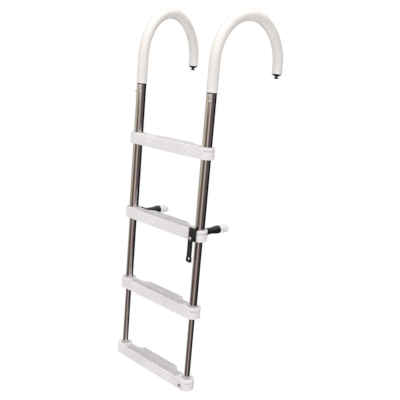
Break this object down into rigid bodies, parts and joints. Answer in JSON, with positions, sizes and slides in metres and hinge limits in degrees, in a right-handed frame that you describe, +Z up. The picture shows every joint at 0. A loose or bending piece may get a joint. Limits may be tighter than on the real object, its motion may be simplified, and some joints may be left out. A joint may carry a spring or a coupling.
{
  "type": "telescoping boat boarding ladder",
  "caption": "Telescoping boat boarding ladder with grooved plastic steps on nested tubes, swivelling gunwale hooks, fold-down stand-off arms and a retaining strap.",
  "frame": {"origin": "midway between the two rails, on the plane of their axes, level with the base of the lowest step", "axes": "+Z up along the rails, +Y towards the boat, the way the hooks and the stand-off arms reach, +X to the right of a person facing the boat from the water"},
  "size_m": [0.4388, 0.3634, 1.252],
  "materials": {
    "stainless_tube": "polished stainless steel",
    "stainless_fastener": "plain stainless steel",
    "white_plastic": "white moulded polypropylene, fine grain",
    "white_vinyl": "warm white vinyl, satin",
    "white_rubber": "white non-marking rubber",
    "black_plastic": "black nylon, satin",
    "black_rubber": "black rubber",
    "natural_nylon": "natural nylon"
  },
  "bodies": {
    "upper_section": {"left_upper_rail": "stainless_tube", "right_upper_rail": "stainless_tube", "left_upper_bush": "natural_nylon", "right_upper_bush": "natural_nylon", "step_1": "white_plastic", "step_2": "white_plastic", "step_1_screws": "stainless_fastener", "swivel_screws": "stainless_fastener", "left_standoff_bracket": "black_plastic", "right_standoff_bracket": "black_plastic", "left_standoff_pin": "stainless_fastener", "right_standoff_pin": "stainless_fastener", "standoff_screws": "stainless_fastener", "strap_bracket": "black_plastic", "strap_rivet": "stainless_fastener"},
    "middle_section": {"left_middle_rail": "stainless_tube", "right_middle_rail": "stainless_tube", "left_middle_glide": "natural_nylon", "right_middle_glide": "natural_nylon", "left_middle_bush": "natural_nylon", "right_middle_bush": "natural_nylon", "step_3": "white_plastic", "step_3_screws": "stainless_fastener"},
    "lower_section": {"left_lower_rail": "stainless_tube", "right_lower_rail": "stainless_tube", "left_lower_glide": "natural_nylon", "right_lower_glide": "natural_nylon", "left_foot_plug": "black_plastic", "right_foot_plug": "black_plastic", "step_4": "white_plastic", "step_4_screws": "stainless_fastener", "strap_keeper": "stainless_fastener"},
    "left_hook": {"left_hook_tube": "stainless_tube", "left_hook_sleeve": "white_vinyl", "left_hook_spigot": "black_plastic", "left_hook_plug": "black_plastic", "left_hook_stud": "black_plastic"},
    "right_hook": {"right_hook_tube": "stainless_tube", "right_hook_sleeve": "white_vinyl", "right_hook_spigot": "black_plastic", "right_hook_plug": "black_plastic", "right_hook_stud": "black_plastic"},
    "left_standoff": {"left_standoff_arm": "black_plastic", "left_standoff_bumper": "white_rubber"},
    "right_standoff": {"right_standoff_arm": "black_plastic", "right_standoff_bumper": "white_rubber"},
    "strap": {"retaining_strap": "black_rubber"}
  },
  "joints": [
    {"name": "middle_slide", "type": "slide", "parent": "upper_section", "child": "middle_section", "axis": [0, 0, 1], "range_m": [0, 0.226]},
    {"name": "lower_slide", "type": "slide", "parent": "middle_section", "child": "lower_section", "axis": [0, 0, 1], "range_m": [0, 0.221]},
    {"name": "left_hook_swivel", "type": "hinge", "parent": "upper_section", "child": "left_hook", "pos_m": [-0.166, 0, 0.991], "axis": [0, 0, 1], "range_deg": [-12, 78]},
    {"name": "right_hook_swivel", "type": "hinge", "parent": "upper_section", "child": "right_hook", "pos_m": [0.166, 0, 0.991], "axis": [0, 0, 1], "range_deg": [-90, 0]},
    {"name": "left_standoff_hinge", "type": "hinge", "parent": "upper_section", "child": "left_standoff", "pos_m": [-0.15, 0.04, 0.5405], "axis": [1, 0, 0], "range_deg": [-90, 0]},
    {"name": "right_standoff_hinge", "type": "hinge", "parent": "upper_section", "child": "right_standoff", "pos_m": [0.15, 0.04, 0.5405], "axis": [1, 0, 0], "range_deg": [-90, 0]},
    {"name": "strap_swivel", "type": "hinge", "parent": "upper_section", "child": "strap", "pos_m": [0.162, -0.033, 0.5316], "axis": [0, 1, 0], "range_deg": [-90, 90]}
  ]
}
